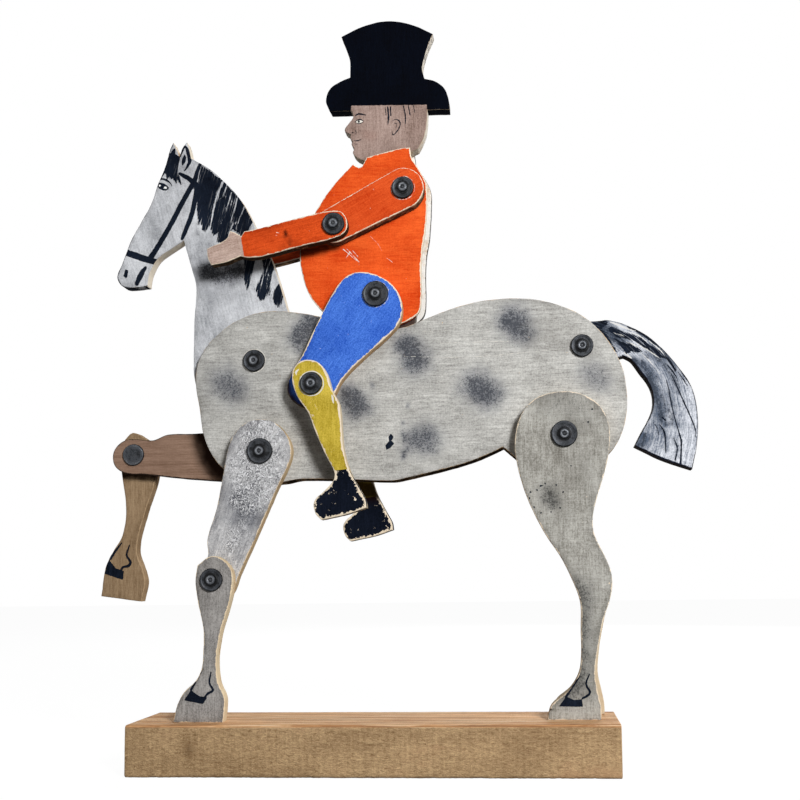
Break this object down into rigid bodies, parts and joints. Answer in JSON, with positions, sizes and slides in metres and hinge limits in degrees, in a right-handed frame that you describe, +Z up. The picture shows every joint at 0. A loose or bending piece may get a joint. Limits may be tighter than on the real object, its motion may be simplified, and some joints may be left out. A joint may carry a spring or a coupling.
{
  "type": "jointed horse and rider figure",
  "caption": "Flat cut wooden horse and top hatted rider with riveted limbs, posed by hand on a timber base.",
  "frame": {"origin": "middle of the base's underside", "axes": "+X from the horse's head to its tail, +Y from the near side to the far side, +Z up"},
  "size_m": [0.4725, 0.0673, 0.585],
  "materials": {
    "timber": "planed softwood, unpainted",
    "bare_wood": "thin board, unpainted",
    "horse_grey": "brushed warm grey paint, worn at the edges",
    "neck_grey": "brushed pale bluish grey paint",
    "tail_blue": "dark blue and pale grey brush strokes",
    "coat_orange": "orange red paint with cream worn edges",
    "hat_black": "blue black paint",
    "thigh_blue": "bright blue paint with cream worn edges",
    "calf_mustard": "mustard paint with cream worn edges",
    "black_metal": "blackened iron, slight shine"
  },
  "bodies": {
    "root": {"base": "timber", "hoof_dowels": "bare_wood", "horse_body_near": "horse_grey", "horse_body_far": "horse_grey", "front_spacer": "bare_wood", "hind_spacer": "bare_wood", "front_upper_leg_near": "horse_grey", "front_lower_leg_near": "horse_grey", "hind_leg_near": "horse_grey", "hind_leg_far": "horse_grey", "torso_near": "coat_orange", "torso_far": "coat_orange", "rider_head": "hat_black", "neck_rivet": "black_metal", "tail_rivet": "black_metal", "front_shoulder_rivet": "black_metal", "hind_rivet": "black_metal", "arm_shoulder_rivet": "black_metal", "rider_hip_rivet": "black_metal", "front_knee_rivet_near": "black_metal", "body_washers": "black_metal", "torso_washers": "black_metal", "leg_washers": "black_metal", "front_knee_washer_near": "black_metal"},
    "neck": {"horse_neck": "neck_grey"},
    "tail": {"horse_tail": "tail_blue"},
    "raised_upper_leg": {"front_upper_leg_far": "bare_wood", "front_knee_rivet_far": "black_metal", "front_knee_washer_far": "black_metal"},
    "raised_lower_leg": {"front_lower_leg_far": "bare_wood"},
    "near_upper_arm": {"upper_arm_near": "coat_orange", "elbow_rivet_near": "black_metal", "elbow_washer_near": "black_metal"},
    "near_forearm": {"forearm_near": "coat_orange"},
    "far_upper_arm": {"upper_arm_far": "coat_orange", "elbow_rivet_far": "black_metal", "elbow_washer_far": "black_metal"},
    "far_forearm": {"forearm_far": "coat_orange"},
    "near_thigh": {"thigh_near": "thigh_blue", "rider_knee_rivet_near": "black_metal", "rider_knee_washer_near": "black_metal"},
    "near_calf": {"calf_near": "calf_mustard"},
    "far_thigh": {"thigh_far": "thigh_blue", "rider_knee_rivet_far": "black_metal", "rider_knee_washer_far": "black_metal"},
    "far_calf": {"calf_far": "calf_mustard"}
  },
  "joints": [
    {"name": "neck_turn", "type": "hinge", "parent": "root", "child": "neck", "pos_m": [-0.094, 0.006, 0.3125], "axis": [0, -1, 0], "range_deg": [-15, 20]},
    {"name": "tail_turn", "type": "hinge", "parent": "root", "child": "tail", "pos_m": [0.1595, 0.006, 0.317], "axis": [0, -1, 0], "range_deg": [-20, 25]},
    {"name": "raised_shoulder", "type": "hinge", "parent": "root", "child": "raised_upper_leg", "pos_m": [-0.0865, 0.006, 0.2405], "axis": [0, -1, 0], "range_deg": [-25, 40]},
    {"name": "raised_knee", "type": "hinge", "parent": "raised_upper_leg", "child": "raised_lower_leg", "pos_m": [-0.19746, 0.006, 0.24341], "axis": [0, -1, 0], "range_deg": [-80, 30]},
    {"name": "near_shoulder", "type": "hinge", "parent": "root", "child": "near_upper_arm", "pos_m": [0.0245, 0.006, 0.442], "axis": [0, -1, 0], "range_deg": [-25, 15]},
    {"name": "near_elbow", "type": "hinge", "parent": "near_upper_arm", "child": "near_forearm", "pos_m": [-0.02772, 0.006, 0.41246], "axis": [0, -1, 0], "range_deg": [-35, 25]},
    {"name": "far_shoulder", "type": "hinge", "parent": "root", "child": "far_upper_arm", "pos_m": [0.0245, 0.006, 0.442], "axis": [0, -1, 0], "range_deg": [-25, 12]},
    {"name": "far_elbow", "type": "hinge", "parent": "far_upper_arm", "child": "far_forearm", "pos_m": [-0.0317, 0.006, 0.42099], "axis": [0, -1, 0], "range_deg": [-35, 25]},
    {"name": "near_hip", "type": "hinge", "parent": "root", "child": "near_thigh", "pos_m": [0.003, 0.006, 0.3595], "axis": [0, -1, 0], "range_deg": [-10, 25]},
    {"name": "near_knee", "type": "hinge", "parent": "near_thigh", "child": "near_calf", "pos_m": [-0.04486, 0.006, 0.28986], "axis": [0, -1, 0], "range_deg": [-20, 35]},
    {"name": "far_hip", "type": "hinge", "parent": "root", "child": "far_thigh", "pos_m": [0.003, 0.006, 0.3595], "axis": [0, -1, 0], "range_deg": [-10, 25]},
    {"name": "far_knee", "type": "hinge", "parent": "far_thigh", "child": "far_calf", "pos_m": [-0.0347, 0.006, 0.28388], "axis": [0, -1, 0], "range_deg": [-25, 35]}
  ]
}
